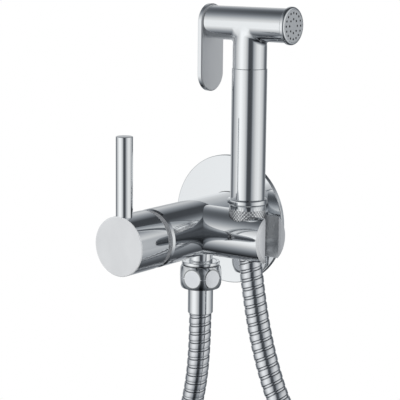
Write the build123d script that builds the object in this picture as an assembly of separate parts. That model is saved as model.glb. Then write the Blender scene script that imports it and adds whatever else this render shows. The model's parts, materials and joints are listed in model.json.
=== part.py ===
from build123d import *
import math
import os

# Wall-mounted bidet shower set: a single-lever valve body with a side arm that holds a
# hand spray, and the ribbed hose between the two.
# Millimetres. The wall's face is the plane y = 0, the valve body points along -Y, +Z is up.

# valve body
body_d = 37.3
body_reach = 85.6
body_wall = 4.6
body_edge = 0.6
front_edge_length = 1.6
front_edge_width = 0.8
tail_depth = 27.0
inlet_depth_in_wall = 13.6
inlet_boss_d = 25.0
inlet_boss_reach = 21.0
inlet_thread_d = 18.63
inlet_thread_depth = 11.0
inlet_drill_d = 9.0
passage_d = 5.6
mixed_port_angle = 270.0
port_spacing = 120.0

# wall plate and its seal
plate_d = 86.8
plate_depth = 3.0
plate_wall = 1.2
plate_edge = 0.9
plate_clearance = 0.2
plate_seal = 1.7

# cartridge
cartridge_step = 1.3
cartridge_base = 4.0
cartridge_height = 27.0
cartridge_proud = 1.0
cartridge_shoulder = 12.0
cartridge_flange_play = 0.15
cartridge_flange_height = 2.4
cartridge_neck_step = 3.5
cartridge_wall = 1.2
cartridge_lip = 1.6
cartridge_lip_width = 1.0
disc_port_d = 4.0
port_inset = 3.7
fixed_disc_height = 2.8
disc_travel = 2.8
moving_disc_height = 5.6
rotor_back_height = 9.0
rotor_front_reach = 1.5
rotor_wall = 1.9
pivot_set_back = 4.0
pivot_pin_d = 2.5

# stem
stem_side = 6.0
stem_arm = 12.0
stem_ball_d = 5.0
stem_neck_step = 0.6
stem_end_gap = 1.5

# cartridge nut and dome ring
nut_reach = 3.9
nut_slots = 4
nut_slot = 2.4
nut_slot_depth = 2.4
dome_clearance = 0.8
dome_reach = 5.5
dome_wall = 1.2
dome_edge = 1.6

# lever
cap_gap = 5.2
cap_length = 25.8
cap_wall = 2.5
cap_front = 4.0
cap_edge = 0.5
hub_d = 15.0
hub_length = 14.6
hub_socket_floor = 1.0
lever_rod_d = 10.48
lever_rod_inset = 5.7
lever_rod_top = 67.2
lever_stud_d = 6.0
lever_stud_depth = 7.0
lever_stud_boss_wall = 2.2
lever_rod_edge = 0.6
grub_d = 4.0
grub_length = 4.2
grub_access_d = 5.0

# holder arm
arm_d = 32.0
arm_reach = 60.7
arm_axis_reach = 39.6
arm_end_edge = 1.5
slot_width = 15.4
slot_shift = 0.9
slot_edge = 1.0
seat_floor_drop = 3.3
hose_hole_d = 17.2

# outlet
outlet_reach = 32.9
outlet_neck_d = 15.6
outlet_thread_d = 20.7
outlet_socket_depth = 7.0
outlet_thread_length = 11.0
outlet_bore_d = 9.0
outlet_passage_d = 8.0

# swivel nut of the hose
nut_top_drop = 23.0
nut_collar_d = 25.0
nut_collar_height = 2.7
nut_groove_depth = 0.5
nut_groove_height = 0.6
nut_barrel_height = 15.2
nut_barrel_bulge_d = 29.0
nut_barrel_end_d = 25.0
nut_across_flats = 26.4
nut_flat_turn = -17.7

# hose
hose_d = 14.8
hose_root_d = 13.5
hose_bore_d = 9.0
hose_ribs = 100
rib_ramp = 0.12
rib_crest = 0.72
hose_tail_flange_d = 19.6
hose_tail_flange = 2.0
hose_tail_bore_d = 6.4
ferrule_d = 16.6
ferrule_bottom_drop = 58.3
washer_height = 1.8
washer_bore_d = 11.0

# ball end of the hose in the hand spray's nut
hose_lean = 7.5
ball_d = 17.6
ball_level = 5.5
ball_top = 3.3
ball_sleeve_d = 15.0
ball_sleeve_reach = 12.0

# hand spray
spray_reach = 41.3
cone_top_d = 23.6
cone_bottom_d = 20.7
cone_bottom_level = -3.0
cone_band_height = 2.9
cone_knurl_depth = 0.35
cone_bore_d = 18.6
cone_lip_d = 16.8
cone_lip_flare_d = 18.6
cone_lip_rise = 1.6
collar_level = 20.5
collar_height = 3.9
collar_d = 25.3
collar_edge = 1.3
inlet_thread_length = 8.5
inlet_bore_d = 11.0
handle_d = 22.0
handle_wall = 2.0
handle_edge = 0.4
handle_spigot_length = 10.0
seam_level = 106.0
head_level = 133.4
head_d = 20.9
head_wall = 2.4
head_rear = 28.4
head_front = 28.4
neck_d = 21.3
neck_top_d = 20.4
neck_taper_drop = 13.4
neck_taper_height = 6.0
neck_bore_d = 12.0
valve_seat_reach = 10.7
valve_seat_thickness = 2.0
valve_seat_d = 8.0

# spray face
ring_d = 23.2
ring_length = 2.9
ring_groove = 0.6
ring_groove_d = 19.6
ring_edge = 0.4
ring_round = 1.4
ring_spigot_length = 6.0
ring_bore_d = 14.0
face_d = 19.8
face_thickness = 1.2
face_set_back = 0.15
outer_holes = 16
inner_holes = 8
outer_holes_d = 15.8
inner_holes_d = 8.4
spray_hole_d = 0.9
face_seal = 1.4

# trigger and spray valve
trigger_d = 23.2
trigger_drop = 31.8
trigger_thickness = 3.6
trigger_edge = 0.6
trigger_gap = 0.1
hook_web = 1.5
hook_play = 0.6
hook_rise = 4.0
plunger_d = 4.0
plunger_neck_d = 3.2
plunger_head_d = 6.0
plunger_head_length = 2.0
plunger_collar_d = 11.0
plunger_collar_length = 2.0
plunger_washer_length = 1.9
gland_depth = 9.0
gland_length = 6.0
spring_d = 9.0
spring_wall = 1.0

# fits, and how far a cut runs past a face
fit = 0.05
run = 0.3
past = 1.0

# derived places
body_r = body_d / 2
arm_r = arm_d / 2
nut_thread_d = body_d - 2 * body_wall
cartridge_flange_d = nut_thread_d - 2 * cartridge_flange_play
cartridge_d = cartridge_flange_d - 2 * cartridge_step
cartridge_neck_d = cartridge_flange_d - 2 * cartridge_neck_step
cartridge_cavity_d = cartridge_neck_d - 2 * cartridge_wall
passage_ring_d = cartridge_cavity_d - 2 * port_inset
moving_disc_d = cartridge_cavity_d - 2 * disc_travel
seat_level = body_reach - cartridge_height + cartridge_proud
cavity_floor = seat_level + cartridge_base
cartridge_top = seat_level + cartridge_height
cartridge_mouth_d = cartridge_cavity_d - 2 * cartridge_lip_width
rotor_front_d = cartridge_mouth_d - 2 * run
rotor_slot = rotor_front_d - 2 * rotor_wall
pivot_reach = body_reach - pivot_set_back
dome_d = body_d - 2 * cap_wall - 2 * dome_clearance
cap_back = body_reach + cap_gap
cap_reach = cap_back + cap_length
cap_ceiling = cap_reach - cap_front
hub_back = cap_ceiling - hub_length
rod_reach = cap_reach - lever_rod_inset
stud_bottom = body_r - lever_stud_depth
thread_top = -nut_top_drop - run
thread_end = thread_top - outlet_thread_length
washer_end = thread_end - washer_height
flange_end = washer_end - hose_tail_flange
cone_thread_end = collar_level - inlet_thread_length
handle_bore_d = handle_d - 2 * handle_wall
spigot_end = seam_level - handle_spigot_length
head_bore_d = head_d - 2 * head_wall
ring_flange = head_front + ring_groove
ring_front = ring_flange + ring_length
face_seat = ring_front - face_set_back - face_thickness
washer_face = valve_seat_reach - run
collar_face = washer_face - plunger_washer_length
gland_end = gland_depth + gland_length - head_rear

# along the head's axis: trigger, plunger head, its neck, the hook's web and the plunger's shaft
trigger_face = -head_rear - trigger_gap
hook_head = trigger_face + hook_play
hook_neck = hook_head + plunger_head_length
web_start = hook_neck + hook_play
web_end = web_start + hook_web
shaft_start = web_end + hook_play

forward = Rot(90, 0, 0)
rightward = Rot(0, 90, 0)
arm_axis = Pos(0, -arm_axis_reach, 0) * rightward
outlet_axis = Pos(0, -outlet_reach, 0)
spray_axis = Pos(spray_reach, -arm_axis_reach, 0)
head_axis = Pos(spray_reach, -arm_axis_reach, head_level) * rightward


def turned(*outline, rounds=(), bevels=()):
    """Solid of revolution about Z from (radius, height) corners, with (corner, size) rounds and bevels."""
    face = make_face(Polyline(*outline, close=True))
    for corner, size in rounds:
        face = fillet(face.vertices().sort_by_distance(Vector(*outline[corner]))[0], size)
    for corner, size in bevels:
        face = chamfer(face.vertices().sort_by_distance(Vector(*outline[corner]))[0], size)
    return Rot(90, 0, 0) * revolve(face, Axis.Y)


def rod(diameter, start, end):
    """Cylinder along Z from one height to another."""
    upright = (Align.CENTER, Align.CENTER, Align.MIN)
    return Pos(0, 0, min(start, end)) * Cylinder(diameter / 2, abs(end - start), align=upright)


def tube(outer, inner, start, end):
    """Plain ring or tube along Z."""
    return rod(outer, start, end) - rod(inner, start - past, end + past)


def ring_of(count, diameter, shape, start=0.0):
    """The same shape repeated on a circle about Z."""
    return [Rot(0, 0, start + 360 * i / count) * Pos(diameter / 2, 0, 0) * shape for i in range(count)]


def wall_plate():
    hole = body_r + plate_clearance
    edge = plate_d / 2
    back = plate_depth - plate_wall
    shell = turned(
        (edge, 0), (edge, plate_depth), (hole, plate_depth), (hole, back),
        (edge - plate_wall, back), (edge - plate_wall, 0), rounds=[(1, plate_edge)],
    )
    return forward * shell


def plate_gasket():
    top = plate_depth - plate_wall - fit
    inner = body_d + 2 * fit
    return forward * tube(inner + 2 * plate_seal, inner, top - plate_seal, top)


def port_ring(diameter, start, end):
    """Three ports round the axis: one below for mixed water and two above for hot and cold."""
    return ring_of(3, passage_ring_d, rod(diameter, start, end), start=mixed_port_angle)


def mixer_body():
    shell = turned(
        (0, -tail_depth), (body_r, -tail_depth), (body_r, body_reach - front_edge_length),
        (body_r - front_edge_width, body_reach), (0, body_reach), bevels=[(1, body_edge)],
    )
    bore = rod(nut_thread_d, seat_level + cartridge_shoulder, body_reach + past)
    bore += rod(cartridge_d + 2 * fit, seat_level, body_reach)
    solid = forward * shell
    inlets = Pos(0, inlet_depth_in_wall, 0) * rightward
    solid += inlets * rod(inlet_boss_d, -inlet_boss_reach, inlet_boss_reach)
    solid -= forward * bore
    for side in (1, -1):
        mouth = side * inlet_boss_reach
        socket_end = mouth - side * inlet_thread_depth
        solid -= inlets * rod(inlet_thread_d, socket_end, mouth + side * past)
        solid -= inlets * rod(inlet_drill_d, side * passage_ring_d / 4, mouth)
    passage = rod(passage_d, -inlet_depth_in_wall, seat_level + past)
    for angle in (mixed_port_angle - port_spacing, mixed_port_angle + port_spacing):
        solid -= forward * Rot(0, 0, angle) * Pos(passage_ring_d / 2, 0, 0) * passage
    mixed = rod(passage_d, outlet_reach, seat_level + past)
    solid -= forward * Pos(0, -passage_ring_d / 2, 0) * mixed
    solid -= outlet_axis * rod(outlet_passage_d, -passage_ring_d / 2, -body_r - past)
    solid -= outlet_axis * rod(outlet_neck_d + 2 * fit, outlet_socket_depth - body_r, -body_r - past)
    return solid


def cone_d(level):
    """Diameter of the hand spray's cone nut at a height."""
    share = (level - cone_bottom_level) / (collar_level - cone_bottom_level)
    return cone_bottom_d + share * (cone_top_d - cone_bottom_d)


def holder_arm():
    arm = arm_axis * turned(
        (0, 0), (arm_r, 0), (arm_r, arm_reach), (0, arm_reach), bevels=[(2, arm_end_edge)]
    )
    arm -= forward * rod(body_d + 2 * fit, 0, body_reach)
    floor = -seat_floor_drop
    top = arm_r + past
    seat = turned((0, floor), (cone_d(floor) / 2 + run, floor), (cone_d(top) / 2 + run, top), (0, top))
    arm -= spray_axis * seat
    arm -= spray_axis * rod(hose_hole_d, -arm_r - past, 0)
    side = slot_width / 2
    end = arm_reach - spray_reach
    slot = make_face(Polyline(
        (0, -side), (end - slot_edge, -side), (end + past, -side - slot_edge - past),
        (end + past, side + slot_edge + past), (end - slot_edge, side), (0, side), close=True,
    ))
    arm -= spray_axis * Pos(0, slot_shift, -top) * extrude(slot, 2 * top)
    return arm


def outlet_nipple():
    top = outlet_socket_depth - body_r
    shank = rod(outlet_neck_d, thread_top, top) + rod(outlet_thread_d, thread_end, thread_top)
    return outlet_axis * (shank - rod(outlet_bore_d, thread_end - past, top + past))


def nut_washer():
    return outlet_axis * tube(hose_tail_flange_d, washer_bore_d, washer_end, thread_end)


def hose_nut():
    top = -nut_top_drop
    collar_end = top - nut_collar_height
    barrel_end = collar_end - nut_barrel_height
    end_r = nut_barrel_end_d / 2
    bulge = (nut_barrel_bulge_d / 2, (collar_end + barrel_end) / 2)
    side = ThreePointArc((end_r, barrel_end), bulge, (end_r, collar_end))
    rest = Polyline((end_r, collar_end), (0, collar_end), (0, barrel_end), (end_r, barrel_end))
    barrel = make_face(rest + side)
    corner_turn = nut_flat_turn + 180 / 6
    hexagon = RegularPolygon(nut_across_flats / 2, 6, major_radius=False, rotation=corner_turn)
    solid = Rot(90, 0, 0) * revolve(barrel, Axis.Y)
    solid = solid & Pos(0, 0, barrel_end) * extrude(hexagon, nut_barrel_height)
    solid += rod(nut_collar_d, collar_end, top)
    groove_d = nut_collar_d - 2 * nut_groove_depth
    solid -= tube(nut_collar_d + 2 * past, groove_d, collar_end, collar_end + nut_groove_height)
    solid -= rod(outlet_thread_d + 2 * fit, flange_end, top + past)
    solid -= rod(ferrule_d + 2 * fit, barrel_end - past, flange_end + past)
    return outlet_axis * solid


def hose_tail():
    stem_end = -ferrule_bottom_drop
    solid = rod(hose_tail_flange_d, flange_end, washer_end) + rod(hose_bore_d, stem_end, washer_end)
    return outlet_axis * (solid - rod(hose_tail_bore_d, stem_end - past, washer_end + past))


def hose_ferrule():
    return outlet_axis * tube(ferrule_d, hose_bore_d + 2 * fit, -ferrule_bottom_drop, flange_end)


# The hose hangs from the outlet and comes up into the holder as one wide loop.
lean = math.radians(hose_lean)
hose_end_direction = Vector(math.sin(lean), 0, -math.cos(lean))
ball_centre = Vector(spray_reach, -arm_axis_reach, ball_level)
hose_start = Vector(0, -outlet_reach, -ferrule_bottom_drop)
hose_finish = ball_centre + hose_end_direction * ball_sleeve_reach
first_run = 31.0
last_run = 31.0
loop_drop = 424.7
# points of the loop from the hose's start, as shares of its drop
loop_shares = [
    (-0.0155, -0.0007, -0.1641), (-0.0589, -0.0045, -0.3101), (-0.1271, -0.0108, -0.4796),
    (-0.1884, -0.0191, -0.6586), (-0.1789, -0.0285, -0.8211), (-0.0659, -0.0356, -0.9482),
    (0.1319, -0.0403, -1.0), (0.3296, -0.0403, -0.9506), (0.4474, -0.0356, -0.8163),
    (0.4921, -0.0308, -0.6445), (0.4662, -0.0261, -0.4608), (0.3673, -0.0228, -0.3242),
    (0.2496, -0.0205, -0.2159), (0.1695, -0.0181, -0.1264), (0.133, -0.0167, -0.0417),
]
route = [hose_start, hose_start + Vector(0, 0, -first_run)]
route += [hose_start + Vector(*share) * loop_drop for share in loop_shares]
route += [hose_finish + hose_end_direction * last_run, hose_finish]


def bend_radii(points):
    """Radius of each corner: 0.45 of the shorter run beside it, over the tangent of half the turn."""
    radii = []
    for before, corner, after in zip(points, points[1:], points[2:]):
        first = corner - before
        second = after - corner
        turn = math.radians(first.get_angle(second))
        radii.append(0.45 * min(first.length, second.length) / math.tan(turn / 2))
    return radii


def hose():
    radii = bend_radii(route)
    path = FilletPolyline(*route, radius=radii)
    across = Vector(0, 1, 0)
    pitch = path.length / hose_ribs
    crest_end = rib_ramp + rib_crest
    rib = [(hose_root_d, 0), (hose_d, rib_ramp), (hose_d, crest_end), (hose_root_d, crest_end + rib_ramp)]

    def circle(diameter, along):
        place = path.position_at(along, position_mode=PositionMode.LENGTH)
        tangent = path.tangent_at(along, position_mode=PositionMode.LENGTH)
        x_dir = (across - tangent * across.dot(tangent)).normalized()
        return Wire.make_circle(diameter / 2, Plane(origin=place, x_dir=x_dir, z_dir=tangent))

    rings = []
    for number in range(hose_ribs):
        start = number * pitch
        for diameter, share in rib:
            rings.append(circle(diameter, start + share * pitch))
    rings.append(circle(hose_root_d, path.length))
    skin = Solid.make_loft(rings, ruled=True)
    core = Plane(origin=route[0], z_dir=route[1] - route[0]) * Circle(hose_bore_d / 2)
    bore = sweep(core, path)
    section = math.pi * hose_bore_d**2 / 4
    print("hose length", round(path.length, 1), "bend radii", [round(radius) for radius in radii])
    print("hose bore volume over section times length", round(bore.volume / (section * path.length), 4))
    return Part(skin.wrapped) - bore


def cartridge_body():
    flange = seat_level + cartridge_shoulder
    solid = rod(cartridge_d, seat_level, flange) + rod(cartridge_neck_d, seat_level, cartridge_top)
    solid += rod(cartridge_flange_d, flange, flange + cartridge_flange_height)
    solid -= rod(cartridge_cavity_d, cavity_floor, cartridge_top - cartridge_lip)
    solid -= rod(cartridge_mouth_d, cavity_floor, cartridge_top + past)
    for port in port_ring(disc_port_d, seat_level - past, cavity_floor + past):
        solid -= port
    return forward * solid


def fixed_disc():
    top = cavity_floor + fixed_disc_height
    solid = rod(cartridge_cavity_d - 2 * fit, cavity_floor, top)
    for port in port_ring(disc_port_d, cavity_floor - past, top + past):
        solid -= port
    return forward * solid


def moving_disc():
    start = cavity_floor + fixed_disc_height + run
    end = start + moving_disc_height
    socket = rod(stem_ball_d + 2 * run, start + run, end + past)
    return forward * (rod(moving_disc_d, start, end) - socket)


def cartridge_rotor():
    back_end = cartridge_top - cartridge_lip - run
    back_d = cartridge_cavity_d - 2 * run
    start = back_end - rotor_back_height
    end = cartridge_top + rotor_front_reach
    solid = rod(back_d, start, back_end) + rod(rotor_front_d, start, end)
    middle = (start + end) / 2
    solid -= Pos(0, 0, middle) * Box(stem_side + 2 * run, rotor_slot, end - start + 2 * past)
    solid -= Pos(0, 0, pivot_reach) * rightward * rod(pivot_pin_d + 2 * fit, -back_d, back_d)
    return forward * solid


def tilt_pin():
    half = cartridge_cavity_d / 2 - 2 * run
    return forward * Pos(0, 0, pivot_reach) * rightward * rod(pivot_pin_d, -half, half)


def cartridge_nut():
    start = seat_level + cartridge_shoulder + cartridge_flange_height
    end = body_reach + nut_reach
    solid = tube(nut_thread_d - 2 * fit, cartridge_neck_d + 2 * fit, start, end)
    slot = Pos(0, 0, end) * Box(nut_thread_d, nut_slot, 2 * nut_slot_depth)
    middle_d = (nut_thread_d + cartridge_neck_d) / 2
    outer_half = tube(nut_thread_d, middle_d, end - nut_slot_depth, end + past)
    for cut in ring_of(nut_slots, nut_thread_d, slot):
        solid -= cut & outer_half
    return forward * solid


def dome_ring():
    inner = nut_thread_d / 2 + fit
    front = body_reach + dome_reach
    opening = cartridge_neck_d / 2 + run
    solid = turned(
        (inner, body_reach), (dome_d / 2, body_reach), (dome_d / 2, front), (opening, front),
        (opening, front - dome_wall), (inner, front - dome_wall), rounds=[(2, dome_edge)],
    )
    return forward * solid


def lever_cap():
    inner = body_r - cap_wall
    shell = turned(
        (inner, cap_back), (body_r, cap_back), (body_r, cap_reach), (0, cap_reach), (0, cap_ceiling),
        (inner, cap_ceiling), bevels=[(2, cap_edge)],
    )
    shell += rod(hub_d, hub_back, cap_ceiling)
    socket = stem_side + 2 * fit
    shell -= Pos(0, 0, hub_back) * Box(socket, socket, 2 * (hub_length - hub_socket_floor))
    stud_place = Pos(0, 0, rod_reach) * Rot(-90, 0, 0)
    boss = rod(lever_stud_d + 2 * lever_stud_boss_wall, stud_bottom - lever_stud_boss_wall, inner)
    solid = shell + stud_place * boss
    solid -= stud_place * rod(lever_stud_d + 2 * fit, stud_bottom, body_r + past)
    grub_place = Pos(0, 0, hub_back + hub_length / 2) * Rot(90, 0, 0)
    solid -= grub_place * rod(grub_d + 2 * fit, stem_side / 2, hub_d)
    solid -= grub_place * rod(grub_access_d, inner - past, body_r + past)
    return forward * solid


def grub_screw():
    start = stem_side / 2 + fit
    place = Pos(0, 0, hub_back + hub_length / 2) * Rot(90, 0, 0)
    return forward * place * rod(grub_d, start, start + grub_length)


def lever_stem():
    end = cap_ceiling - stem_end_gap
    ball = pivot_reach - stem_arm
    bar_start = pivot_reach - stem_side / 2
    neck_r = stem_ball_d / 2 - stem_neck_step
    taper = bar_start - stem_side / 2
    bar = Pos(0, 0, (bar_start + end) / 2) * Box(stem_side, stem_side, end - bar_start)
    neck = turned((0, ball), (neck_r, ball), (neck_r, taper), (stem_side / 2, bar_start), (0, bar_start))
    solid = bar + neck + Pos(0, 0, ball) * Sphere(stem_ball_d / 2)
    solid -= Pos(0, 0, pivot_reach) * rightward * rod(pivot_pin_d + 2 * run, -stem_side, stem_side)
    return forward * solid


def lever_rod():
    grip_r = lever_rod_d / 2
    outline = (0, 0), (grip_r, 0), (grip_r, lever_rod_top), (0, lever_rod_top)
    place = Pos(0, -rod_reach, 0)
    grip = place * turned(*outline, bevels=[(2, lever_rod_edge)])
    grip -= forward * rod(body_d + 2 * fit, 0, rod_reach + body_d)
    return grip + place * rod(lever_stud_d, stud_bottom, body_r + grip_r)


def ball_ferrule():
    top = Pos(0, 0, -ball_top - ball_d) * Box(2 * ball_d, 2 * ball_d, 2 * ball_d)
    solid = Sphere(ball_d / 2) - top
    solid += rod(ball_sleeve_d, 0, ball_sleeve_reach)
    solid -= rod(hose_tail_bore_d, -ball_d, ball_sleeve_reach + past)
    return Pos(*ball_centre) * Rot(0, 180 - hose_lean, 0) * solid


def cone_nut():
    band_end = collar_level - cone_band_height
    step = cone_knurl_depth / 2
    outer = turned(
        (0, cone_bottom_level), (cone_bottom_d / 2, cone_bottom_level), (cone_d(0) / 2, 0),
        (cone_d(0) / 2 + step, step), (cone_d(band_end) / 2 + step, band_end - step),
        (cone_d(band_end) / 2, band_end), (cone_top_d / 2, collar_level), (0, collar_level),
    )
    solid = outer - rod(outlet_thread_d + 2 * fit, cone_thread_end, collar_level + past)
    solid -= rod(cone_bore_d, ball_level, collar_level)
    bore_r = cone_bore_d / 2
    lip_r = cone_lip_d / 2
    flare_r = cone_lip_flare_d / 2
    lip = ball_level - ((ball_d / 2 + run) ** 2 - lip_r**2) ** 0.5
    below = cone_bottom_level - past
    solid -= turned(
        (0, ball_level), (bore_r, ball_level), (bore_r, lip + cone_lip_rise), (lip_r, lip),
        (flare_r, cone_bottom_level), (flare_r, below), (0, below),
    )
    return spray_axis * solid


def cone_washer():
    start = cone_thread_end - washer_height
    return spray_axis * tube(cone_bore_d - 2 * fit, washer_bore_d, start, cone_thread_end)


def inlet_collar():
    top = collar_level + collar_height
    edge = collar_d / 2
    end = top + handle_spigot_length
    solid = turned(
        (0, collar_level), (edge, collar_level), (edge, top), (0, top),
        rounds=[(1, collar_edge), (2, collar_edge)],
    )
    solid += rod(handle_bore_d - 2 * fit, top, end)
    solid += rod(outlet_thread_d, cone_thread_end, collar_level)
    return spray_axis * (solid - rod(inlet_bore_d, cone_thread_end - past, end + past))


def handle_tube():
    bottom = collar_level + collar_height
    inner = handle_bore_d / 2
    outer = handle_d / 2
    solid = turned(
        (inner, bottom), (outer, bottom), (outer, seam_level), (inner, seam_level),
        bevels=[(2, handle_edge)],
    )
    return spray_axis * solid


def spray_head():
    taper = head_level - neck_taper_drop
    taper_end = taper + neck_taper_height
    neck = turned(
        (0, seam_level), (neck_d / 2, seam_level), (neck_d / 2, taper), (neck_top_d / 2, taper_end),
        (neck_top_d / 2, head_level), (0, head_level), bevels=[(1, handle_edge)],
    )
    neck += rod(handle_bore_d - 2 * fit, spigot_end, seam_level)
    solid = spray_axis * neck + head_axis * rod(head_d, -head_rear, head_front)
    seat_end = valve_seat_reach + valve_seat_thickness
    solid -= head_axis * rod(head_bore_d, -head_rear - past, valve_seat_reach)
    solid -= head_axis * rod(head_bore_d, seat_end, head_front + past)
    solid -= head_axis * rod(valve_seat_d, 0, seat_end + past)
    solid -= spray_axis * rod(neck_bore_d, spigot_end - past, head_level)
    return solid


def spray_ring():
    edge = ring_d / 2
    solid = turned(
        (0, ring_flange), (edge, ring_flange), (edge, ring_front), (0, ring_front),
        rounds=[(2, ring_round)], bevels=[(1, ring_edge)],
    )
    solid += rod(ring_groove_d, head_front, ring_flange)
    solid += rod(head_bore_d - 2 * fit, head_front - ring_spigot_length, head_front)
    solid -= rod(ring_bore_d, head_front - ring_spigot_length - past, ring_front)
    solid -= rod(face_d + 2 * fit, face_seat, ring_front + past)
    return head_axis * solid


def spray_face():
    solid = rod(face_d, face_seat, face_seat + face_thickness)
    hole = rod(spray_hole_d, face_seat - past, face_seat + face_thickness + past)
    for cut in ring_of(outer_holes, outer_holes_d, hole) + ring_of(inner_holes, inner_holes_d, hole):
        solid -= cut
    return head_axis * solid


def spray_seal():
    end = head_front - ring_spigot_length - fit
    outer = head_bore_d - 2 * fit
    return head_axis * tube(outer, outer - 2 * face_seal, end - face_seal, end)


def trigger_plate():
    outline = Pos(trigger_drop / 2, 0) * SlotCenterToCenter(trigger_drop, trigger_d)
    plate = extrude(outline, trigger_thickness)
    rims = plate.edges().group_by(Axis.Z)
    plate = Pos(0, 0, trigger_face - trigger_thickness) * chamfer(rims[0] + rims[-1], trigger_edge)
    room = plunger_head_d + 2 * hook_play
    depth = web_end - trigger_face
    recess = web_start - trigger_face
    hook = Pos(0, 0, trigger_face + depth / 2) * Box(2 * hook_rise, room + 2 * hook_web, depth)
    hook -= Pos(0, 0, trigger_face + recess / 2) * Box(2 * hook_rise + 2 * past, room, recess)
    slot = plunger_neck_d + 2 * hook_play
    hook -= Pos(slot / 2 - hook_rise, 0, web_end) * Box(2 * hook_rise, slot, 3 * hook_web)
    return head_axis * (plate + hook)


def gland():
    return head_axis * tube(head_bore_d - 2 * fit, plunger_d + 2 * run, gland_end - gland_length, gland_end)


def plunger():
    solid = rod(plunger_head_d, hook_head, hook_neck) + rod(plunger_neck_d, hook_neck, shaft_start)
    solid += rod(plunger_d, shaft_start, collar_face)
    solid += rod(plunger_collar_d, collar_face - plunger_collar_length, collar_face)
    return head_axis * solid


def plunger_washer():
    return head_axis * rod(plunger_collar_d, collar_face, washer_face)


def valve_spring():
    end = collar_face - plunger_collar_length
    return head_axis * tube(spring_d, spring_d - 2 * spring_wall, gland_end, end)


pieces = {
    "wall_plate": wall_plate(),
    "plate_gasket": plate_gasket(),
    "mixer_body": mixer_body(),
    "holder_arm": holder_arm(),
    "outlet_nipple": outlet_nipple(),
    "nut_washer": nut_washer(),
    "hose_nut": hose_nut(),
    "hose_tail": hose_tail(),
    "hose_ferrule": hose_ferrule(),
    "hose": hose(),
    "cartridge_body": cartridge_body(),
    "fixed_disc": fixed_disc(),
    "moving_disc": moving_disc(),
    "cartridge_rotor": cartridge_rotor(),
    "tilt_pin": tilt_pin(),
    "cartridge_nut": cartridge_nut(),
    "dome_ring": dome_ring(),
    "lever_cap": lever_cap(),
    "lever_stem": lever_stem(),
    "lever_rod": lever_rod(),
    "grub_screw": grub_screw(),
    "ball_ferrule": ball_ferrule(),
    "cone_nut": cone_nut(),
    "cone_washer": cone_washer(),
    "inlet_collar": inlet_collar(),
    "handle_tube": handle_tube(),
    "spray_head": spray_head(),
    "gland": gland(),
    "plunger": plunger(),
    "plunger_washer": plunger_washer(),
    "valve_spring": valve_spring(),
    "spray_ring": spray_ring(),
    "spray_face": spray_face(),
    "spray_seal": spray_seal(),
    "trigger_plate": trigger_plate(),
}

os.makedirs("parts", exist_ok=True)
for name, piece in pieces.items():
    export_step(piece, f"parts/{name}.step")
    print(name, "solids", len(piece.solids()), "volume", round(piece.volume, 1), "valid", piece.is_valid)
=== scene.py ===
import json
import math
import bmesh
import bpy
import numpy as np
from mathutils import Matrix, Vector

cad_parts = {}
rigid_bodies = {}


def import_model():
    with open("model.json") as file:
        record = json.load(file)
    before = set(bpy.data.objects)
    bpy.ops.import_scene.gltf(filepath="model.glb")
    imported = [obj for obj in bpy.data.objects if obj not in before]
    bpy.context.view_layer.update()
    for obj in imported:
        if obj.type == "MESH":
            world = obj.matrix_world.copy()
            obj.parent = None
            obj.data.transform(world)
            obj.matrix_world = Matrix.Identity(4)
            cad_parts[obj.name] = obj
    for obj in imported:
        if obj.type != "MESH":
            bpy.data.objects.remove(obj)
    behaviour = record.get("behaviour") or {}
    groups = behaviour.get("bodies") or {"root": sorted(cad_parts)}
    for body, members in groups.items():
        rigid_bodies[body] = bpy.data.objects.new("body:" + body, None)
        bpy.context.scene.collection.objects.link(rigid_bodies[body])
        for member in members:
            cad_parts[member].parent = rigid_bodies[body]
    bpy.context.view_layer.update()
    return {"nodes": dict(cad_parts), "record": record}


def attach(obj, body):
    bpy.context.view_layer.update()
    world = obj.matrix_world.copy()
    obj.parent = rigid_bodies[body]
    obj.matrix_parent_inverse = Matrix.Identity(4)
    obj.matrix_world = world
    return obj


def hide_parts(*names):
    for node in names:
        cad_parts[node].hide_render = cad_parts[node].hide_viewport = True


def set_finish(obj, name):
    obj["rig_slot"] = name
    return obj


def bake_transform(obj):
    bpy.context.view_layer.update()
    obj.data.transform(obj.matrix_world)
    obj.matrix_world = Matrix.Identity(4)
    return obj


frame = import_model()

# A wall-mounted bidet shower set in polished chrome. Metres, +Z up, the wall's face at y = 0.
mm = 0.001
joinWithin = 0.0000005  # m, points of a copied node that are nearer than this become one


def inMetres(place):
    return tuple(value * mm for value in place)


def addObject(name, data):
    thing = bpy.data.objects.new(name, data)
    bpy.context.scene.collection.objects.link(thing)
    return thing


# one number or vector for each item of a mesh, as an array
def readAll(items, field, width=1, kind=float):
    values = np.zeros(len(items) * width, kind)
    items.foreach_get(field, values)
    return values.reshape(-1, width) if width > 1 else values


# camera
photoView = {
    "target": (30.493, -75.04, 26.758),  # mm
    "distance": 857.089,                 # mm
    "azimuth": 36.928, "elevation": 10.449, "roll": 0.584,  # degrees
    "lens": 125.48, "sensor": 36.0,      # mm
    "nearest": 0.01,                     # m
}


def makeCamera(view):
    azimuth, elevation, roll = (math.radians(view[key]) for key in ("azimuth", "elevation", "roll"))
    data = bpy.data.cameras.new("photoCamera")
    data.lens = view["lens"]
    data.sensor_width = view["sensor"]
    data.clip_start = view["nearest"]
    camera = addObject("photoCamera", data)
    turn = Matrix.Rotation(azimuth, 4, "Z") @ Matrix.Rotation(math.pi / 2 - elevation, 4, "X")
    turn = turn @ Matrix.Rotation(roll, 4, "Z")
    back = turn @ Vector((0, 0, view["distance"] * mm))
    camera.matrix_world = Matrix.Translation(Vector(view["target"]) * mm + back) @ turn
    bpy.context.scene.camera = camera


makeCamera(photoView)
bpy.context.scene.view_settings.view_transform = "Standard"
print("camera set")


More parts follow.
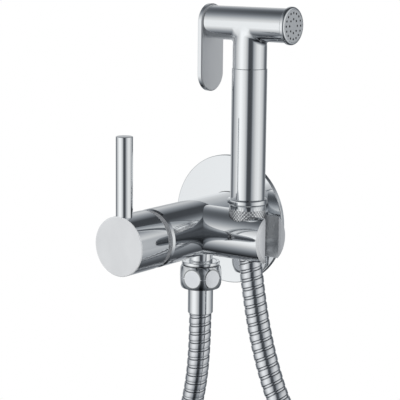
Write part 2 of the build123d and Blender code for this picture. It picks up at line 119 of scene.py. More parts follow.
# surfaces: every one is a grid worked out as whole arrays
# a smooth-shaded piece from its points in metres, its faces and, where they are known, its normals
def meshFrom(name, points, faces, normals=None):
    mesh = bpy.data.meshes.new(name)
    mesh.from_pydata(points.tolist(), [], faces.tolist() if hasattr(faces, "tolist") else faces)
    mesh.polygons.foreach_set("use_smooth", np.ones(len(mesh.polygons), bool))
    if normals is not None:
        mesh.normals_split_custom_set_from_vertices(normals.tolist())
    mesh.update()
    return addObject(name, mesh)


# a number for each point, which its finish reads as how much painted shade lies there: how far down a groove the
# point lies, or how near a flat's edge
def addShade(piece, values):
    shade = piece.data.attributes.new("groove", "FLOAT", "POINT")
    shade.data.foreach_set("value", np.ascontiguousarray(values, dtype=np.float32))


# points round an axis: x = r cos t, y = r sin t, z = h
def around(radius, angle, height):
    return np.stack([radius * np.cos(angle), radius * np.sin(angle), height + 0 * angle], axis=-1).reshape(-1, 3)


# quads of a grid whose columns close into rings, and whose rows may close too
def gridFaces(rows, columns, wrapRows=False):
    row, column = np.meshgrid(np.arange(rows if wrapRows else rows - 1), np.arange(columns), indexing="ij")
    nextRow, nextColumn = (row + 1) % rows, (column + 1) % columns
    corners = [row * columns + column, row * columns + nextColumn,
               nextRow * columns + nextColumn, nextRow * columns + column]
    return np.stack([corner.ravel() for corner in corners], axis=1)


# profile with an arc at each corner: centre + radius * (cos a, sin a) between the two tangent points.
# Gives the points and their unit normals, to the right of the way that the profile runs.
def roundedProfile(points, radii, closed, steps=5):
    points = np.array(points, float)
    count = len(points)
    places, normals = [], []
    for index in range(count):
        corner = points[index]
        before, after = points[index - 1], points[(index + 1) % count]
        if not closed and index in (0, count - 1):
            run = after - corner if index == 0 else corner - before
            places.append(corner)
            normals.append(np.array([run[1], -run[0]]) / np.linalg.norm(run))
            continue
        into = (corner - before) / np.linalg.norm(corner - before)
        out = (after - corner) / np.linalg.norm(after - corner)
        turn = math.atan2(into[0] * out[1] - into[1] * out[0], into @ out)
        radius = radii[index]
        reach = radius * math.tan(abs(turn) / 2)
        side = np.array([-into[1], into[0]]) * math.copysign(1, turn)
        centre = corner - into * reach + side * radius
        for step in np.linspace(0, 1, steps + 1):
            angle = turn * step
            spun = np.array([math.cos(angle) * -side[0] - math.sin(angle) * -side[1],
                             math.sin(angle) * -side[0] + math.cos(angle) * -side[1]])
            places.append(centre + spun * radius)
            normals.append(spun * math.copysign(1, turn))
    return np.array(places), np.array(normals)


# turns local +Z to a direction and moves the local origin to a point, in mm
def placeOf(origin, direction):
    return Matrix.Translation(Vector(origin)) @ Vector(direction).to_track_quat("Z", "Y").to_matrix().to_4x4()


# points in mm and their normals, at their place in metres
def moved(place, points, normals):
    turn = np.array(place)[:3, :3]
    return (points @ turn.T + np.array(place)[:3, 3]) * mm, normals @ turn.T


# surface of revolution: x = r cos t, y = r sin t, z = h for each profile point (r, h)
def turnedPiece(name, settings, sides=96):
    outline = settings["outline"]
    radii = settings["radii"] if "radii" in settings else [settings["edge"]] * len(outline)
    closed = settings.get("ring", False)
    profile, slope = roundedProfile(outline, radii, closed)
    angle = np.linspace(0, 2 * np.pi, sides, endpoint=False)
    # an open profile may start or end on the axis, where its ring is one point
    poles = [] if closed else [row for row in (0, len(profile) - 1) if profile[row, 0] < 1e-6]
    rings = np.array([row for row in range(len(profile)) if row not in poles])
    points = around(profile[rings, :1], angle, profile[rings, 1:])
    normals = around(slope[rings, :1], angle, slope[rings, 1:])
    faces = gridFaces(len(rings), sides, wrapRows=closed).tolist()
    for row in poles:
        first = 0 if row == 0 else (len(rings) - 1) * sides
        ring = [first + index for index in range(sides)]
        pole = len(points)
        points = np.vstack([points, [0, 0, profile[row, 1]]])
        normals = np.vstack([normals, [0, 0, slope[row, 1]]])
        pairs = zip(ring, ring[1:] + ring[:1])
        faces += [[pole, b, a] if row == 0 else [pole, a, b] for a, b in pairs]
    points, normals = moved(settings["place"], points, normals)
    return meshFrom(name, points, faces, normals)


copying = {
    "flatShare": 0.9999,  # a CAD face whose facets' normals add up to this share of its area, or more, is flat
    "offAxis": 0.07,      # a facet whose normal leans further than this past an axis isn't turned round it
}


# merged copy of a CAD node with exact normals on its turned faces. On a surface of revolution the normal's share
# along the axis and its share away from the axis are the same at each corner of a facet, so that
# n = a (n . a) + r (n . r), with each corner's own direction r away from the axis.
def trueCopy(name, node, axes):
    source = frame["nodes"][node].data
    points = readAll(source.vertices, "co", 3)
    faces = readAll(source.loops, "vertex_index", kind=int).reshape(-1, 3)
    across = np.cross(points[faces[:, 1]] - points[faces[:, 0]], points[faces[:, 2]] - points[faces[:, 0]])
    area = np.linalg.norm(across, axis=1)
    flat = across / np.maximum(area, 1e-18)[:, None]
    patch = np.arange(len(points))  # one label for each CAD face, since its facets share their points
    while True:
        lowest = patch[faces].min(axis=1)
        spread = patch.copy()
        np.minimum.at(spread, faces.ravel(), np.repeat(lowest, 3))
        if (spread == patch).all():
            break
        patch = spread
    label = patch[faces[:, 0]]
    total = np.zeros((len(points), 3))
    np.add.at(total, label, across)
    size = np.zeros(len(points))
    np.add.at(size, label, area)
    curved = np.linalg.norm(total[label], axis=1) < copying["flatShare"] * size[label]
    normals = np.repeat(flat[:, None, :], 3, axis=1)
    for origin, direction in axes:
        axis = np.array(direction, float)

        def away(place):
            reach = place - np.array(origin) * mm
            reach = reach - (reach @ axis)[..., None] * axis
            return reach / np.maximum(np.linalg.norm(reach, axis=-1), 1e-12)[..., None]

        middle = away(points[faces].mean(axis=1))
        along = flat @ axis
        outward = (flat * middle).sum(axis=1)
        aside = (flat * np.cross(axis, middle)).sum(axis=1)
        fits = curved & (abs(aside) < copying["offAxis"])
        turnedNormals = along[:, None, None] * axis + outward[:, None, None] * away(points[faces])
        normals[fits] = turnedNormals[fits]
        curved &= ~fits
    shared = np.zeros((len(points), 3))
    np.add.at(shared, faces.ravel(), (normals * area[:, None, None]).reshape(-1, 3))
    shared = shared[faces]
    shared /= np.maximum(np.linalg.norm(shared, axis=-1), 1e-18)[..., None]
    places, merged = np.unique(np.round(points / joinWithin), axis=0, return_inverse=True)
    merged = merged.reshape(-1)[faces]
    whole = (merged != np.roll(merged, 1, axis=1)).all(axis=1)
    mesh = bpy.data.meshes.new(name)
    mesh.from_pydata((places * joinWithin).tolist(), [], merged[whole].tolist())
    mesh.polygons.foreach_set("use_smooth", np.ones(len(mesh.polygons), bool))
    mesh.normals_split_custom_set(shared[whole].reshape(-1, 3).tolist())
    mesh.update()
    return addObject(name, mesh)


# a piece is called after the node that it stands for: mixerBody for mixer_body
def pieceName(node):
    first, *rest = node.split("_")
    return first + "".join(word.title() for word in rest)


def finished(piece, body, node, slot="polished_chrome"):
    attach(piece, body)
    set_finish(piece, slot)
    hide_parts(node)
    return piece


# hose: the same route points as the part's source, as one smooth spline
hoseSettings = {
    "route": [
        (0, -32.9, -58.3), (0, -32.9, -89.3), (-6.58, -33.2, -127.99), (-25.01, -34.81, -190.0),
        (-53.98, -37.49, -261.99), (-80.01, -41.01, -338.01), (-75.98, -45.0, -407.02), (-27.99, -48.02, -461.0),
        (56.02, -50.02, -483.0), (139.98, -50.02, -462.02), (190.01, -48.02, -404.98), (208.99, -45.98, -332.02),
        (198.0, -43.98, -254.0), (155.99, -42.58, -195.99), (106.01, -41.61, -149.99), (71.99, -40.59, -111.98),
        (56.49, -39.99, -76.01), (46.913, -39.6, -37.132), (42.866, -39.6, -6.397),
    ],
    "diameter": 14.8, "length": 1126.0, "pitch": 5.73, "columns": 36,
    # places along one pitch of the strip, from its edge over its crown to the gap, and the radius there
    "strip": [(0.00, 6.75), (0.025, 7.22), (0.06, 7.38), (0.10, 7.40), (0.36, 7.41), (0.62, 7.40), (0.655, 7.36),
              (0.685, 7.18), (0.705, 6.75), (0.75, 6.98), (0.77, 7.03), (0.85, 7.10), (0.93, 7.05), (0.96, 6.98)],
    "gap": 6.95, "gapDepth": 0.2,  # painted shade: the finish darkens from this radius down, over this depth
    "look": 2.0,                   # the hose's direction is taken between points this far ahead and behind
}


def splinePoints(route):
    curve = bpy.data.curves.new("hoseRoute", "CURVE")
    curve.dimensions = "3D"
    curve.resolution_u = 32
    spline = curve.splines.new("NURBS")
    spline.points.add(len(route) - 1)
    for point, place in zip(spline.points, route):
        point.co = (*inMetres(place), 1)
    spline.order_u = 3
    spline.use_endpoint_u = True
    holder = addObject("hoseRoute", curve)
    bpy.context.view_layer.update()
    mesh = bpy.data.meshes.new_from_object(holder)
    points = readAll(mesh.vertices, "co", 3)
    bpy.data.objects.remove(holder)
    bpy.data.curves.remove(curve)
    bpy.data.meshes.remove(mesh)
    return points


# wound strip: at angle t round the centre line the strip's point of phase p lies at
# s = pitch * (turn + p + t / 2 pi) along it, with the radius of that phase
def makeHose(settings):
    path = splinePoints(settings["route"])
    runs = np.linalg.norm(np.diff(path, axis=0), axis=1)
    reach = np.concatenate([[0], np.cumsum(runs)])
    length = reach[-1]
    turns = round(length / (settings["pitch"] * mm))
    pitch = length / turns
    phases, radii = np.array(settings["strip"]).T
    columns, steps = settings["columns"], len(phases)
    row = np.arange((turns + 2) * steps)
    column = np.arange(columns)
    along = pitch * (row[:, None] // steps - 1 + phases[row % steps][:, None] + column / columns)
    outside = (along < 0) | (along > length)
    along = np.clip(along, 0, length)
    radius = np.repeat(radii[row % steps][:, None], columns, axis=1) * mm
    radius = np.where(outside, radii.min() * mm, radius)

    def onPath(distance):
        distance = np.clip(distance, 0, length)
        return np.stack([np.interp(distance, reach, path[:, axis]) for axis in range(3)], axis=-1)

    look = settings["look"] * mm
    tangent = onPath(along + look) - onPath(along - look)
    tangent /= np.linalg.norm(tangent, axis=-1)[..., None]
    across = np.array([0, 1, 0]) - tangent * tangent[..., 1:2]
    across /= np.linalg.norm(across, axis=-1)[..., None]
    third = np.cross(tangent, across)
    angle = (2 * np.pi * column / columns)[:, None]
    points = onPath(along) + radius[..., None] * (across * np.cos(angle) + third * np.sin(angle))
    index = np.arange(row.size * columns).reshape(row.size, columns)
    # the last column joins the first one turn further on
    nextColumn = np.concatenate([index[:-steps, 1:], index[steps:, :1]], axis=1)
    here = index[:-steps]
    faces = np.stack([here[:-1], nextColumn[:-1], nextColumn[1:], here[1:]], axis=-1).reshape(-1, 4)
    faces = faces[~outside.ravel()[faces].all(axis=1)]
    used, faces = np.unique(faces, return_inverse=True)
    hose = meshFrom("ribbedHose", points.reshape(-1, 3)[used], faces.reshape(-1, 4))
    # painted shade in the gaps between the strip's turns
    depth = np.clip((settings["gap"] * mm - radius) / (settings["gapDepth"] * mm), 0, 1) * ~outside
    addShade(hose, depth.ravel()[used])
    return hose, path


ribbedHose, hosePath = makeHose(hoseSettings)
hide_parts("hose")
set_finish(ribbedHose, "hose_steel")
print("hose made")

# the axes that the pieces share, in mm: the hand spray's and its barrel's height, the outlet's and the lever rod's
sprayX, sprayY, headZ = 41.3, -39.6, 133.4
outletY, rodY = -32.9, -110.9
forward = placeOf((0, 0, 0), (0, -1, 0))
sprayAxis = placeOf((sprayX, sprayY, 0), (0, 0, 1))
headAxis = placeOf((sprayX, sprayY, headZ), (1, 0, 0))
outletAxis = placeOf((0, outletY, 0), (0, 0, 1))

# turned pieces, each with its corners (radius, height) in mm and the rounding of each corner

wallPlateShape = {
    "place": forward, "ring": True,
    "outline": [(43.4, 0), (43.4, 3.0), (18.85, 3.0), (18.85, 1.8), (42.2, 1.8), (42.2, 0)],
    "radii": [0.2, 0.6, 0.12, 0.12, 0.3, 0.2],
}
leverRodShape = {
    "place": placeOf((0, rodY, 0), (0, 0, 1)),
    "outline": [(0, 14.0), (5.24, 14.0), (5.24, 67.2), (0, 67.2)], "radii": [0, 0.1, 0.5, 0],
}
domeRingShape = {
    "place": forward, "ring": True,
    "outline": [(14.1, 85.6), (15.35, 85.6), (15.35, 91.1), (10.7, 91.1), (10.7, 89.9), (14.1, 89.9)],
    "radii": [0.1, 0.1, 1.6, 0.2, 0.1, 0.2],
}
nippleShape = {
    "place": outletAxis, "ring": True,
    "outline": [(4.5, -34.3), (10.35, -34.3), (10.35, -23.3), (7.8, -23.3), (7.8, -11.65), (4.5, -11.65)],
    "edge": 0.3,
}
ferruleShape = {
    "place": outletAxis, "ring": True,
    "outline": [(4.55, -58.3), (8.3, -58.3), (8.3, -38.1), (4.55, -38.1)], "radii": [0.1, 0.5, 0.1, 0.1],
}
collarShape = {
    "place": sprayAxis, "ring": True,
    "outline": [(5.5, 12.0), (10.35, 12.0), (10.35, 20.5), (12.65, 20.5), (12.65, 24.4), (8.95, 24.4),
                (8.95, 34.4), (5.5, 34.4)],
    "radii": [0.1, 0.2, 0.1, 1.3, 1.3, 0.1, 0.3, 0.1],
}
handleShape = {
    "place": sprayAxis, "ring": True,
    "outline": [(9.0, 24.4), (11.0, 24.4), (11.0, 106.0), (9.0, 106.0)], "radii": [0.1, 0.12, 0.3, 0.1],
}
sprayRingShape = {
    "place": headAxis, "ring": True,
    "outline": [(7.0, 22.4), (8.0, 22.4), (8.0, 28.4), (9.8, 28.4), (9.8, 29.0), (11.6, 29.0), (11.6, 31.9),
                (9.95, 31.9), (9.95, 30.55), (7.0, 30.55)],
    "radii": [0.1, 0.1, 0.05, 0.1, 0.1, 0.4, 1.5, 0.12, 0.05, 0.1],
}

turned = {}
for node, body, shape, sides in (
        ("wall_plate", "mixer", wallPlateShape, 160),
        ("lever_rod", "lever", leverRodShape, 96),
        ("dome_ring", "mixer", domeRingShape, 96),
        ("outlet_nipple", "mixer", nippleShape, 96),
        ("hose_ferrule", "mixer", ferruleShape, 96),
        ("inlet_collar", "handset", collarShape, 96),
        ("handle_tube", "handset", handleShape, 128),
        ("spray_ring", "handset", sprayRingShape, 96)):
    name = pieceName(node)
    turned[name] = finished(turnedPiece(name, shape, sides), body, node)
print("turned pieces made")

# cone nut of the hand spray, with a diamond knurl below its smooth band
coneNutShape = {
    "bottom": -3.0, "top": 20.5, "bottomR": 10.35, "topR": 11.8, "bevel": 0.2, "teeth": 32, "toothSteps": 8,
    "knurlRows": 71, "knurlDepth": 0.3, "topShare": 0.5, "boreR": 10.4, "boreBottom": 6.0,
    "lipR": 8.9, "lipTop": 3.0, "lipTopR": 8.5, "lipRim": 0.5, "sharpFrom": 50,
}


# cone r = r0 + k z. Below the band it is cut by two crossing helices of V grooves:
# height = min(|saw(lead + climb)|, |saw(lead - climb)|), with flat tops above a part of it.
def makeConeNut(shape):
    steps = shape["toothSteps"]
    rowStep = 2 * np.pi * shape["topR"] / shape["teeth"] / steps
    rise = shape["bottom"] + rowStep * np.arange(shape["knurlRows"] + 1)
    bevel = shape["bevel"]
    band = [(rise[-1] + bevel, -bevel), (shape["top"] - bevel, 0), (shape["top"], -bevel)]
    inside = [(shape["top"], shape["boreR"]), (shape["boreBottom"], shape["boreR"]),
              (shape["lipTop"], shape["lipTopR"]), (shape["bottom"], shape["lipR"]),
              (shape["bottom"], shape["lipR"] + shape["lipRim"])]
    slope = (shape["topR"] - shape["bottomR"]) / (shape["top"] - shape["bottom"])
    z = np.concatenate([rise, [place for place, step in band], [place for place, r in inside]])
    r = shape["bottomR"] + slope * (z - shape["bottom"])
    r[len(rise):len(rise) + len(band)] += [step for place, step in band]
    r[len(rise) + len(band):] = [radius for place, radius in inside]
    columns = shape["teeth"] * steps
    angle = np.linspace(0, 2 * np.pi, columns, endpoint=False)
    lead = np.arange(columns)[None, :] / steps
    climb = np.arange(len(z))[:, None] / steps
    crossing = [abs(((lead + way * climb) % 1) - 0.5) * 2 for way in (1, -1)]
    height = np.minimum(np.minimum(*crossing) / shape["topShare"], 1)
    cut = np.where(np.arange(len(z))[:, None] <= shape["knurlRows"], 1 - height, 0)
    points = around(r[:, None] - shape["knurlDepth"] * cut, angle, z[:, None])
    nut = meshFrom("coneNut", moved(sprayAxis, points, points)[0], gridFaces(len(z), columns, wrapRows=True))
    nut.data.set_sharp_from_angle(angle=math.radians(shape["sharpFrom"]))
    # painted shade in the knurl's valleys, as deep as the cut that sinks them
    addShade(nut, cut.ravel())
    return nut


coneNut = finished(makeConeNut(coneNutShape), "handset", "cone_nut")
print("cone nut made")

# barrel nut of the hose
hexNutShape = {
    "collarTop": -23.0, "collarR": 12.5, "grooveR": 12.0, "grooveTop": -25.1, "barrelTop": -25.7,
    "barrelEnd": -40.9, "endR": 12.5, "bulgeR": 14.5, "flatsR": 13.2, "flatTurn": -17.7, "threadR": 10.45,
    "ferruleR": 8.4, "seat": -38.0, "rows": 30, "columns": 240, "soft": 0.25, "sharpFrom": 24,
    # rounding of the corners: the barrel's lower edge, its arc, and the rest up the groove and down the bore
    "lowerEdge": 0.5, "arcEdge": 0.01, "otherEdges": [0.35, 0.05, 0.05, 0.3, 0.45, 0.3, 0.1, 0.1, 0.3],
}


# barrel r = c + R cos b, h = middle + R sin b, cut by six flats at r = a / cos(t - the nearest flat's way)
# and joined by the soft minimum of the two radii: min - s^2 k / 4 with s = max(k - |difference|, 0) / k
def makeHexNut(shape):
    half = (shape["barrelTop"] - shape["barrelEnd"]) / 2
    rise = shape["bulgeR"] - shape["endR"]
    arcR = (half ** 2 + rise ** 2) / (2 * rise)
    bow = np.linspace(-1, 1, shape["rows"]) * math.asin(half / arcR)
    side = np.stack([shape["bulgeR"] - arcR + arcR * np.cos(bow),
                     shape["barrelTop"] - half + arcR * np.sin(bow)], axis=-1).tolist()
    outline = side + [(shape["grooveR"], shape["barrelTop"]), (shape["grooveR"], shape["grooveTop"]),
                      (shape["collarR"], shape["grooveTop"]), (shape["collarR"], shape["collarTop"]),
                      (shape["threadR"], shape["collarTop"]), (shape["threadR"], shape["seat"]),
                      (shape["ferruleR"], shape["seat"]), (shape["ferruleR"], shape["barrelEnd"])]
    radii = [shape["lowerEdge"]] + [shape["arcEdge"]] * (shape["rows"] - 2) + shape["otherEdges"]
    profile = roundedProfile(outline, radii, True, 4)[0]
    r, z = profile[:, :1], profile[:, 1:]
    angle = np.linspace(0, 2 * np.pi, shape["columns"], endpoint=False)
    step = math.radians(60)
    off = (angle - math.radians(shape["flatTurn"]) + step / 2) % step - step / 2
    flat = shape["flatsR"] / np.cos(off)[None, :]
    blended = np.maximum(shape["soft"] - abs(r - flat), 0) / shape["soft"]
    cut = np.minimum(r, flat) - blended ** 2 * shape["soft"] / 4
    barrel = (z < shape["barrelTop"] - 0.2) & (r > shape["threadR"])  # only this part has flats
    points = around(np.where(barrel, cut, r), angle, z)
    faces = gridFaces(len(profile), shape["columns"], wrapRows=True)
    nut = meshFrom("hoseNut", moved(outletAxis, points, points)[0], faces)
    nut.data.set_sharp_from_angle(angle=math.radians(shape["sharpFrom"]))
    # painted reflection and shade: the lines round the flats, where the rounded edges reflect dark, and the groove
    # under the collar, where shade falls, are painted dark
    inGroove = (z > shape["barrelTop"] - 0.05) & (z < shape["grooveTop"] + 0.05)
    inGroove = inGroove & (r < shape["grooveR"] + 0.1) & (r > shape["threadR"] + 0.5)
    addShade(nut, np.where(barrel, blended, np.where(inGroove, 1.0, 0.0)).ravel())
    return nut


hoseNut = finished(makeHexNut(hexNutShape), "mixer", "hose_nut")
print("hose nut made")

# ball end of the hose, leaning with it
ballLean = math.radians(7.5)
ballShape = {
    "place": placeOf((sprayX, sprayY, 5.5), (math.sin(ballLean), 0, -math.cos(ballLean))),
    "sleeveR": 7.5, "sleeveEnd": 12.0, "ballR": 8.8, "ballRows": 18, "cut": -3.3, "boreR": 3.2,
    # rounding: the bore's two ends, the ball's cut top, its side, the sleeve's start and its end
    "boreEdges": [0.2, 0.1], "cutEdge": 0.1, "sideEdge": 0.05, "sleeveEdges": [0.3, 0.5],
}


# ball r = sqrt(R^2 - h^2) from its cut top to the sleeve, then the sleeve and the bore
def makeBallEnd(shape):
    start = math.sqrt(shape["ballR"] ** 2 - shape["sleeveR"] ** 2)
    height = np.linspace(shape["cut"], start, shape["ballRows"])
    ball = np.stack([np.sqrt(shape["ballR"] ** 2 - height ** 2), height], axis=-1).tolist()
    outline = [(shape["boreR"], shape["sleeveEnd"]), (shape["boreR"], shape["cut"])] + ball
    outline += [(shape["sleeveR"], shape["sleeveEnd"])]
    radii = shape["boreEdges"] + [shape["cutEdge"]] + [shape["sideEdge"]] * (len(ball) - 2) + shape["sleeveEdges"]
    return turnedPiece("ballEnd", {"place": shape["place"], "ring": True, "outline": outline, "radii": radii})


ballEnd = finished(makeBallEnd(ballShape), "hose_end", "ball_ferrule")

# spray head: barrel, neck and the soft fillet where they meet
headShape = {
    "axis": (sprayX, sprayY, headZ), "barrelR": 10.45, "rear": -28.4, "front": 28.4, "boreR": 8.05, "edge": 0.15,
    "tailBottom": 96.0, "tailR": 8.95, "neckBottom": 106.0, "neckR": 10.65, "taperStart": 120.0,
    "taperEnd": 126.0, "topR": 10.2, "neckTop": 130.6, "neckBoreR": 6.0,
    "neckEdges": [0.1, 0.3, 0.05, 0.3, 12, 12, 0.1, 0.1],
    "blend": 3.0, "blendPower": 1.6, "blendRadii": (3.5, 30.0), "filletRows": 13, "filletColumns": 240,
}


# rolling-ball fillet between neck and barrel. With rho the fillet, a the neck's radius and b the barrel's,
# the ball's centre is C(t) = ((a + rho) cos t, (a + rho) sin t, -sqrt((b + rho)^2 - ((a + rho) sin t)^2)),
# and the surface is C + rho * slerp from the way to the neck's axis to the way to the barrel's axis.
# rho is the blend's width over a power of the angle arccos(sin t ^ 2) between the two surfaces.
def makeHeadFillet(shape, neckR, neckZ):
    b = shape["barrelR"]
    t = np.linspace(0, 2 * np.pi, shape["filletColumns"], endpoint=False)
    corner = np.maximum(np.arccos(np.clip(np.sin(t) ** 2, 0, 1)), 0.01)
    rho = np.clip(shape["blend"] / corner ** shape["blendPower"], *shape["blendRadii"])
    a = np.full(len(t), shape["topR"])
    for _ in range(6):  # the neck tapers, so its radius depends on how far down the ball sits
        drop = np.sqrt(np.maximum((b + rho) ** 2 - ((a + rho) * np.sin(t)) ** 2, 0.01))
        a = np.interp(shape["axis"][2] - drop, neckZ, neckR)
    centre = np.stack([(a + rho) * np.cos(t), (a + rho) * np.sin(t), -drop], axis=-1)
    toNeck = np.stack([-np.cos(t), -np.sin(t), 0 * t], axis=-1)
    toBarrel = np.stack([0 * t, -centre[:, 1], -centre[:, 2]], axis=-1)
    toBarrel /= np.linalg.norm(toBarrel, axis=1)[:, None]
    spread = np.arccos(np.clip((toNeck * toBarrel).sum(axis=1), -1, 1))[:, None]
    share = np.linspace(0, 1, shape["filletRows"])[:, None, None]
    arc = np.sin((1 - share) * spread) * toNeck + np.sin(share * spread) * toBarrel
    arc /= np.maximum(np.sin(spread), 1e-6)
    points = (centre + rho[:, None] * arc).reshape(-1, 3) + np.array(shape["axis"])
    return meshFrom("headFillet", points * mm, gridFaces(shape["filletRows"], len(t)), -arc.reshape(-1, 3))


def makeSprayHead(shape):
    barrel = {
        "place": headAxis, "ring": True, "edge": shape["edge"],
        "outline": [(shape["boreR"], shape["rear"]), (shape["barrelR"], shape["rear"]),
                    (shape["barrelR"], shape["front"]), (shape["boreR"], shape["front"])],
    }
    neck = {
        "place": sprayAxis, "ring": True, "radii": shape["neckEdges"],
        "outline": [(shape["neckBoreR"], shape["tailBottom"]), (shape["tailR"], shape["tailBottom"]),
                    (shape["tailR"], shape["neckBottom"]), (shape["neckR"], shape["neckBottom"]),
                    (shape["neckR"], shape["taperStart"]), (shape["topR"], shape["taperEnd"]),
                    (shape["topR"], shape["neckTop"]), (shape["neckBoreR"], shape["neckTop"])],
    }
    # the neck's outside alone, without the rounding of its two ends
    side = roundedProfile(neck["outline"], neck["radii"], True)[0]
    outer = (side[:, 0] > shape["tailR"] + 1) & (side[:, 1] > shape["neckBottom"] + 1)
    side = side[outer & (side[:, 1] < shape["neckTop"] - 0.5)]
    fillet = makeHeadFillet(shape, side[:, 0], side[:, 1])
    parts = [turnedPiece("sprayHead", barrel, 128), turnedPiece("headNeck", neck, 128), fillet]
    with bpy.context.temp_override(active_object=parts[0], selected_editable_objects=parts):
        bpy.ops.object.join()
    return parts[0]


finished(makeSprayHead(headShape), "handset", "spray_head")
print("spray head made")

# pieces that keep the CAD's own shape, with the axes of their turned faces
bodyAxis = ((0, 0, 0), (0, 1, 0))
inletsAxis = ((0, 13.6, 0), (1, 0, 0))
outletLine = ((0, outletY, 0), (0, 0, 1))
armLine = ((0, sprayY, 0), (1, 0, 0))
sprayLine = ((sprayX, sprayY, 0), (0, 0, 1))
headLine = ((0, sprayY, headZ), (1, 0, 0))
rodLine = ((0, rodY, 0), (0, 0, 1))
triggerEndLine = ((0, sprayY, 101.6), (1, 0, 0))
keptShapes = {
    "mixer_body": ("mixer", [bodyAxis, inletsAxis, outletLine]),
    "holder_arm": ("mixer", [armLine, sprayLine]),
    "hose_tail": ("mixer", [outletLine]),
    "nut_washer": ("mixer", [outletLine]),
    "plate_gasket": ("mixer", [bodyAxis]),
    "cartridge_body": ("mixer", [bodyAxis]),
    "fixed_disc": ("mixer", [bodyAxis]),
    "cartridge_nut": ("mixer", [bodyAxis]),
    "moving_disc": ("disc", [bodyAxis]),
    "cartridge_rotor": ("turn_carrier", [bodyAxis]),
    "lever_cap": ("lever", [bodyAxis, rodLine]),
    "cone_washer": ("handset", [sprayLine]),
    "gland": ("handset", [headLine]),
    "spray_face": ("handset", [headLine]),
    "spray_seal": ("handset", [headLine]),
    "trigger_plate": ("trigger", [headLine, triggerEndLine]),
    "plunger": ("plunger", [headLine]),
    "plunger_washer": ("plunger", [headLine]),
}
slotOf = {entry["node"]: entry["material_slot"] for entry in frame["record"]["subparts"]}
kept = {}
for node, (body, axes) in keptShapes.items():
    name = pieceName(node)
    kept[name] = finished(trueCopy(name, node, axes), body, node, slotOf[node])
print("kept shapes copied")


# finishes
def makeFinish(name, build):
    material = bpy.data.materials.new(name)
    material.use_nodes = True
    build(material.node_tree, material.node_tree.nodes["Principled BSDF"])
    return material


# inputs are set by name or number, and linked where the value is another node's output
def addNode(tree, kind, inputs=None, **settings):
    node = tree.nodes.new(kind)
    for key, value in settings.items():
        setattr(node, key, value)
    for key, value in (inputs or {}).items():
        if isinstance(value, bpy.types.NodeSocket):
            tree.links.new(value, node.inputs[key])
        else:
            node.inputs[key].default_value = value
    return node


def maths(tree, operation, *values, **settings):
    node = addNode(tree, "ShaderNodeMath", dict(enumerate(values)), operation=operation, **settings)
    return node.outputs["Value"]


# a value's way from low to high, as its way from first to last
def mapped(tree, value, low, high, first=0.0, last=1.0, **settings):
    limits = {"Value": value, "From Min": low, "From Max": high, "To Min": first, "To Max": last}
    return addNode(tree, "ShaderNodeMapRange", limits, **settings).outputs["Result"]


def parted(tree, vector):
    return addNode(tree, "ShaderNodeSeparateXYZ", {"Vector": vector}).outputs


def mixNumber(tree, share, first, second):
    return addNode(tree, "ShaderNodeMix", {0: share, 2: first, 3: second}, data_type="FLOAT").outputs[0]


def mixColour(tree, share, first, second):
    return addNode(tree, "ShaderNodeMix", {0: share, 6: (*first, 1), 7: (*second, 1)}, data_type="RGBA").outputs[2]


def objectCoordinates(tree, scale=(1, 1, 1)):
    place = addNode(tree, "ShaderNodeTexCoord").outputs["Object"]
    return addNode(tree, "ShaderNodeMapping", {"Vector": place, "Scale": scale}).outputs["Vector"]


def noiseAt(tree, vector, scale, detail):
    return addNode(tree, "ShaderNodeTexNoise", {"Vector": vector, "Scale": scale, "Detail": detail}).outputs["Fac"]


# the middle of a noise, stretched to run from low to high
def noiseRange(tree, vector, scale, low, high):
    return mapped(tree, noiseAt(tree, vector, scale, 3.0), 0.3, 0.7, low, high)


def addBump(tree, shader, height, distance, strength=1.0):
    bump = addNode(tree, "ShaderNodeBump", {"Height": height, "Strength": strength, "Distance": distance})
    tree.links.new(bump.outputs["Normal"], shader.inputs["Normal"])


# a metal with smudged gloss. waves is the size and height of slow dents in the plating,
# grain the stretch and height of brushed lines.
def metal(colour, smooth, rough, smudge=45.0, waves=None, grain=None, metallic=1.0):
    def build(tree, shader):
        shader.inputs["Metallic"].default_value = metallic
        shader.inputs["Base Color"].default_value = (*colour, 1)
        place = objectCoordinates(tree)
        tree.links.new(noiseRange(tree, place, smudge, smooth, rough), shader.inputs["Roughness"])
        if waves:
            scale, distance = waves
            addBump(tree, shader, noiseAt(tree, place, scale, 1.0), distance)
        if grain:
            stretch, distance = grain
            addBump(tree, shader, noiseAt(tree, objectCoordinates(tree, stretch), 1.0, 4.0), distance)
    return build


# the metal above, with painted shade that darkens it down in the grooves
def grooveShaded(colour, smooth, rough, dark, spread=1.0):
    plain = metal(colour, smooth, rough, smudge=160.0)

    def build(tree, shader):
        plain(tree, shader)
        groove = addNode(tree, "ShaderNodeAttribute", attribute_name="groove").outputs["Fac"]
        # painted shade: the groove share mixes the colour towards the dark one
        share = maths(tree, "POWER", groove, spread)
        tree.links.new(mixColour(tree, share, colour, dark), shader.inputs["Base Color"])
    return build


armEndShadeFade = {
    "from": -0.0552, "to": -0.0473,  # m, along Y
    "light": (0.86, 0.865, 0.875), "dull": (0.53, 0.54, 0.56),
}


# painted shade: lighter at the front rim, darker towards the slot, along Y
def shadeFading(plain, fade):
    def build(tree, shader):
        plain(tree, shader)
        share = mapped(tree, parted(tree, objectCoordinates(tree))["Y"], fade["from"], fade["to"])
        tree.links.new(mixColour(tree, share, fade["light"], fade["dull"]), shader.inputs["Base Color"])
    return build


sprayHoles = {
    # m: the plate's middle in Y and Z, the count and radius of each ring of holes, how near to it a point
    # of the plate is taken as a hole's, and where the painted shade starts and ends round a hole's middle
    "centre": (sprayY * mm, headZ * mm), "rings": [(16, 0.0079), (8, 0.0042)], "near": 0.0006,
    "inside": 0.0005, "outside": 0.0009,
    "plate": (0.85, 0.865, 0.88), "dark": (0.02, 0.02, 0.022), "share": 0.9,
}


